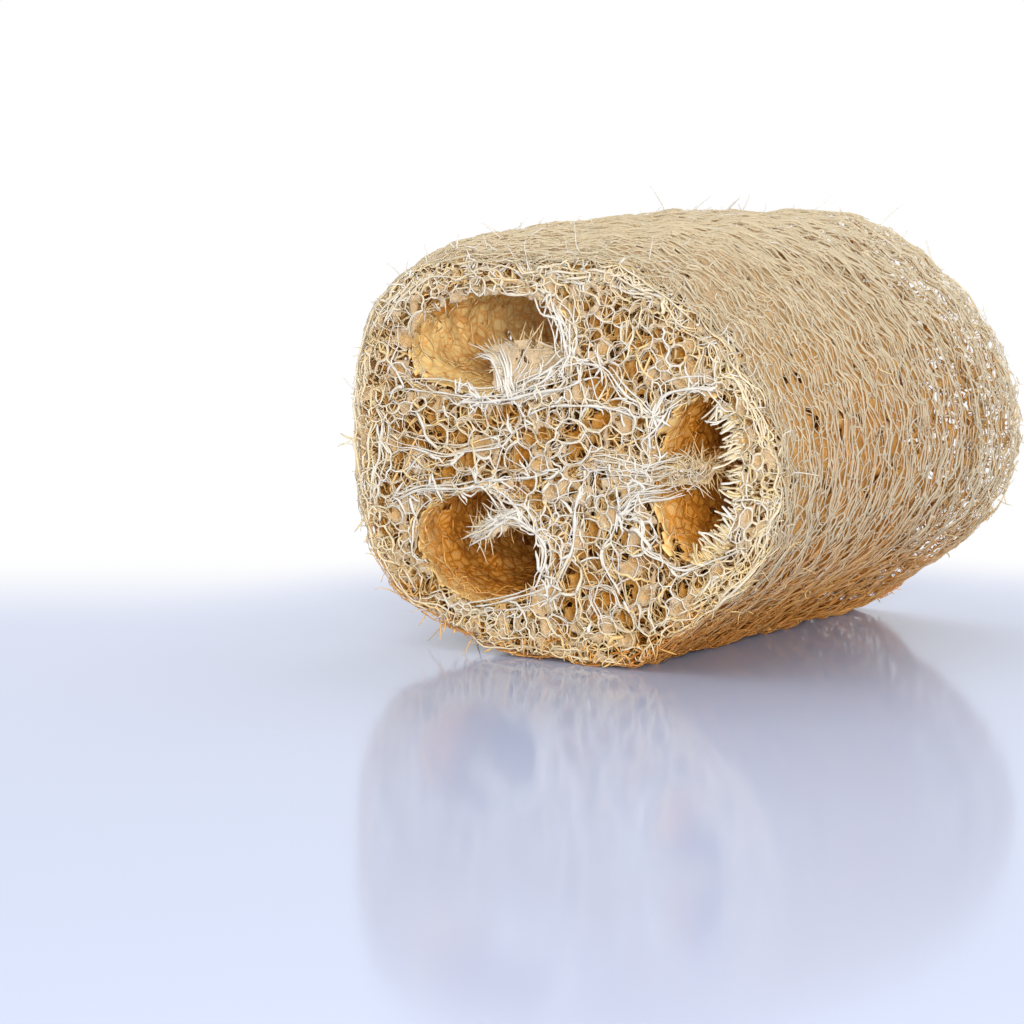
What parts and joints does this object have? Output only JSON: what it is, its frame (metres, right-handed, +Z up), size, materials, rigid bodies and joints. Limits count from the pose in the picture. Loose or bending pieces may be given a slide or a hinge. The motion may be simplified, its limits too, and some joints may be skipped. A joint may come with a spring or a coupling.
{
  "type": "loofah sponge",
  "caption": "Cut length of natural loofah lying on its side: fibrous outer wall, spongy webs, open seed channels running through from end to end.",
  "frame": {"origin": "on the surface that the loofah lies on, under the middle of its bounding box", "axes": "+Z up; the seed channels run along Y, with the front cut face looking along -Y and the back one along +Y; +X to the right of someone who looks at the front cut face"},
  "size_m": [0.1016, 0.09, 0.0808],
  "materials": {
    "outer_fibre": "dry pale cream gourd fibre, matt, laid round the body",
    "wall_fibre": "dry straw-coloured gourd fibre, matt, laid along the body",
    "core_fibre": "dry whitish gourd fibre, an open matt web",
    "lining_fibre": "fine amber cells with a faint sheen",
    "cord_fibre": "thick whitish fibre bundles, matt"
  },
  "bodies": {
    "root": {"hoop_fibre_layer": "outer_fibre", "lengthwise_fibre_layer": "wall_fibre", "channel_lining_upper": "lining_fibre", "channel_lining_lower": "lining_fibre", "channel_lining_right": "lining_fibre", "core_column": "core_fibre", "axial_cord_left": "cord_fibre", "axial_cord_bottom": "cord_fibre", "axial_cord_top": "cord_fibre", "septum_left": "core_fibre", "septum_bottom": "core_fibre", "septum_top": "core_fibre", "seed_ridge_upper": "cord_fibre", "seed_ridge_lower": "cord_fibre", "seed_ridge_right": "cord_fibre"}
  },
  "joints": []
}
